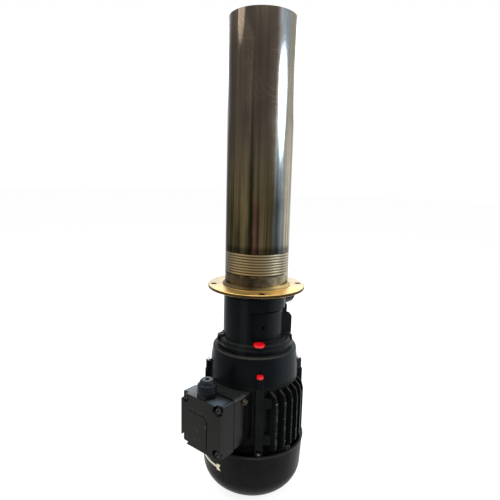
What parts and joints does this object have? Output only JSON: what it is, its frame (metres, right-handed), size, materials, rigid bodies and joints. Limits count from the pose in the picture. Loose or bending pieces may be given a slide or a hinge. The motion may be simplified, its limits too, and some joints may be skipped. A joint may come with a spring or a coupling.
{
  "type": "submersible pump",
  "caption": "Immersion pump with a long suction tube, a round mounting flange, a cast head with a side outlet, a finned motor, a terminal box with cable gland and a domed fan cover.",
  "frame": {"origin": "centre of the mounting flange's face that lies on the tank", "axes": "+Z along the suction tube to its mouth, -Y towards the terminal box, +Y along the discharge port"},
  "size_m": [0.1436, 0.1786, 0.6242],
  "materials": {
    "tube": "polished",
    "flange": "yellow passivated",
    "cast_head": "painted black",
    "cast_motor": "painted black",
    "black_screw": "blackened",
    "bright_screw": "zinc plated",
    "red_cap": "smooth",
    "stainless": "turned",
    "spring_steel": "oiled",
    "bronze": "cast and turned",
    "shaft_steel": "ground",
    "rubber": "matt",
    "paper": "matt",
    "bearing_steel": "ground",
    "cage_brass": "pressed",
    "lamination": "stacked sheet",
    "copper": "varnished wire",
    "cage_aluminium": "as cast",
    "fan_plastic": "satin",
    "arrow": "printed film",
    "terminal_brass": "bright",
    "board": "moulded",
    "gland_plastic": "satin"
  },
  "bodies": {
    "housing": {"pump_tube": "tube", "mounting_flange": "flange", "flange_gasket": "paper", "pump_head": "cast_head", "throttle_bush": "bronze", "head_screws": "black_screw", "head_screw_cap": "red_cap", "suction_strainer": "stainless", "suction_cover": "stainless", "tube_retaining_rings": "spring_steel", "stage_casing_1": "stainless", "stage_casing_2": "stainless", "stage_casing_3": "stainless", "guide_spider": "stainless", "guide_bush": "bronze", "shaft_seal": "rubber", "drive_shield": "cast_motor", "shield_screws": "bright_screw", "shield_screw_cap": "red_cap", "drive_bearing_outer_ring": "bearing_steel", "bearing_circlip": "spring_steel", "motor_frame": "cast_motor", "stator_core": "lamination", "stator_winding": "copper", "fan_bearing_outer_ring": "bearing_steel", "spring_washer": "spring_steel", "rear_shield": "cast_motor", "rear_shield_screws": "bright_screw", "fan_cover": "fan_plastic", "fan_cover_screws": "bright_screw", "rotation_arrow": "arrow", "terminal_box_base": "cast_motor", "terminal_base_screws": "terminal_brass", "terminal_box_gasket": "rubber", "terminal_box_hood": "cast_motor", "hood_screws": "black_screw", "terminal_board": "board", "terminal_studs": "terminal_brass", "gland_body": "gland_plastic", "gland_nut": "gland_plastic", "earth_screw": "terminal_brass"},
    "rotor": {"shaft": "shaft_steel", "impeller_1": "bronze", "impeller_2": "bronze", "impeller_3": "bronze", "spacer_sleeve_1": "stainless", "spacer_sleeve_2": "stainless", "impeller_nut": "spring_steel", "impeller_key": "spring_steel", "slinger_ring": "rubber", "drive_bearing_inner_ring": "bearing_steel", "fan_bearing_inner_ring": "bearing_steel", "rotor_core": "lamination", "rotor_cage": "cage_aluminium", "fan": "fan_plastic", "fan_circlip": "spring_steel"},
    "drive_balls": {"drive_bearing_balls": "bearing_steel", "drive_bearing_cage": "cage_brass"},
    "fan_balls": {"fan_bearing_balls": "bearing_steel", "fan_bearing_cage": "cage_brass"}
  },
  "joints": [
    {"name": "rotor_spin", "type": "hinge", "parent": "housing", "child": "rotor", "pos_m": [0, 0, 0], "axis": [0, 0, 1], "continuous": true},
    {"name": "drive_balls_turn", "type": "hinge", "parent": "housing", "child": "drive_balls", "pos_m": [0, 0, -0.0995], "axis": [0, 0, 1], "continuous": true},
    {"name": "fan_balls_turn", "type": "hinge", "parent": "housing", "child": "fan_balls", "pos_m": [0, 0, -0.2245], "axis": [0, 0, 1], "continuous": true}
  ],
  "couplings": [
    {"joint": "drive_balls_turn", "follows": "rotor_spin", "ratio": 0.38},
    {"joint": "fan_balls_turn", "follows": "rotor_spin", "ratio": 0.38}
  ]
}
